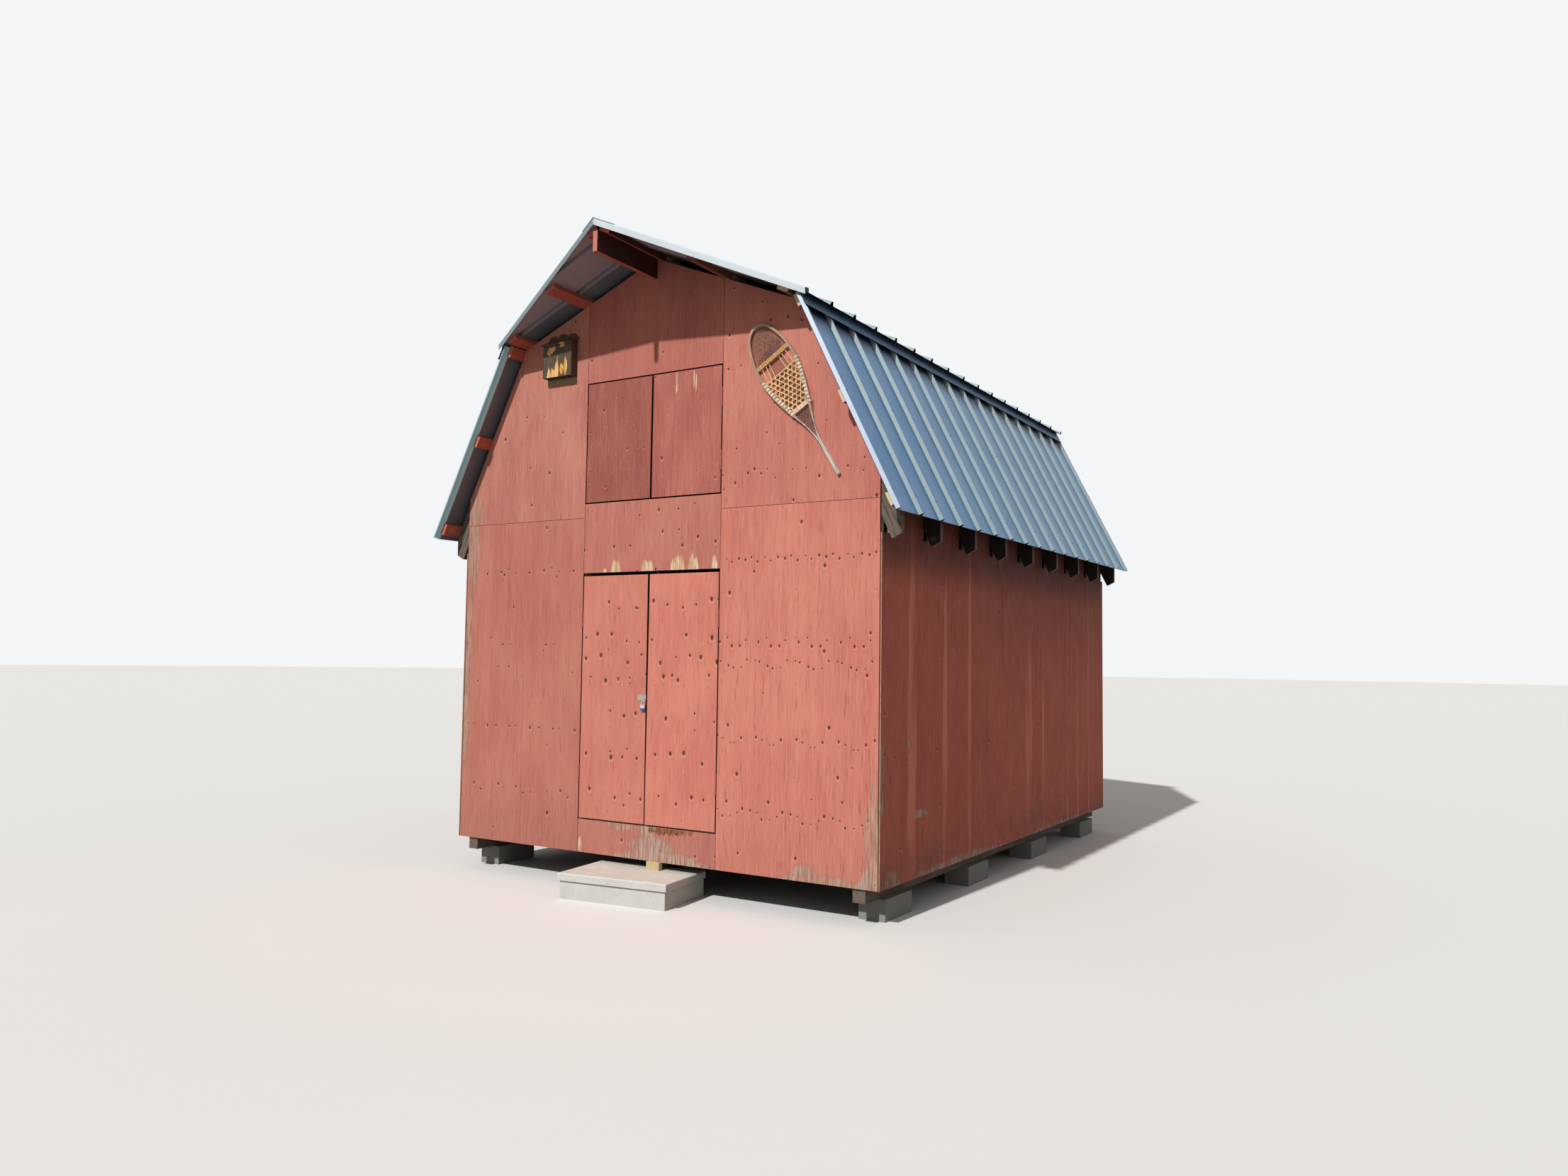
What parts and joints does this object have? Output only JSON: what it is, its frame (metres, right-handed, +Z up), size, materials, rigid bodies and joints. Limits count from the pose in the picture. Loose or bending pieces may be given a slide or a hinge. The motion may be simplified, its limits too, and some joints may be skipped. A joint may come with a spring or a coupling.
{
  "type": "barn-style shed",
  "caption": "Barn-style shed with a gambrel roof of ribbed steel, hinged double doors, a loft with its own doors, and a timber frame under red plywood, on blocks.",
  "frame": {"origin": "on the ground, at the middle of the overall plan", "axes": "+X to the right along the front wall as seen from the front, +Y from the front to the back, +Z up"},
  "size_m": [4.1, 5.747, 4.5952],
  "materials": {
    "red_plywood": "matte, worn red paint",
    "painted_timber": "matte, red paint",
    "framing_timber": "sawn",
    "treated_timber": "sawn, weathered",
    "bare_plywood": "sanded",
    "pale_wood": "sawn",
    "weathered_wood": "weathered",
    "snowshoe_wood": "varnished",
    "roof_steel": "spangled zinc coating",
    "trim_steel": "bright zinc coating",
    "hinge_steel": "zinc plated",
    "padlock_metal": "polished",
    "concrete": "cast, rough"
  },
  "bodies": {
    "shed": {"foundation_blocks": "concrete", "floor_skids": "treated_timber", "floor_frame": "treated_timber", "floor_deck": "bare_plywood", "entry_step": "concrete", "step_shim": "pale_wood", "front_wall_left": "red_plywood", "front_wall_right": "red_plywood", "front_door_panels": "red_plywood", "front_gable_left": "red_plywood", "front_gable_right": "red_plywood", "front_gable_top": "red_plywood", "front_wall_studs": "framing_timber", "front_wall_plates": "framing_timber", "left_wall": "red_plywood", "right_wall": "red_plywood", "side_wall_frames": "framing_timber", "back_wall": "red_plywood", "back_wall_frame": "framing_timber", "loft_joists": "framing_timber", "loft_floor": "bare_plywood", "lower_rafters": "framing_timber", "upper_rafters": "framing_timber", "rafter_gussets": "bare_plywood", "ridge_beam": "painted_timber", "roof_purlins": "painted_timber", "upper_roof_left": "roof_steel", "upper_roof_right": "roof_steel", "lower_roof_left": "roof_steel", "lower_roof_right": "roof_steel", "ridge_cap": "roof_steel", "knee_flashings": "roof_steel", "rake_trims": "trim_steel", "loft_door_left": "red_plywood", "loft_door_right": "red_plywood", "jamb_hinge_leaves": "hinge_steel", "loft_hinges": "hinge_steel", "bat_box": "weathered_wood", "snowshoe": "snowshoe_wood"},
    "door_left": {"lower_door_left": "red_plywood", "door_leaves_left": "hinge_steel", "hasp": "hinge_steel", "padlock": "padlock_metal"},
    "door_right": {"lower_door_right": "red_plywood", "door_leaves_right": "hinge_steel"}
  },
  "joints": [
    {"name": "left_door_swing", "type": "hinge", "parent": "shed", "child": "door_left", "pos_m": [-0.6096, -2.1985, 1.36], "axis": [0, 0, -1], "range_deg": [0, 165]},
    {"name": "right_door_swing", "type": "hinge", "parent": "shed", "child": "door_right", "pos_m": [0.6096, -2.1985, 1.36], "axis": [0, 0, 1], "range_deg": [0, 165]}
  ]
}
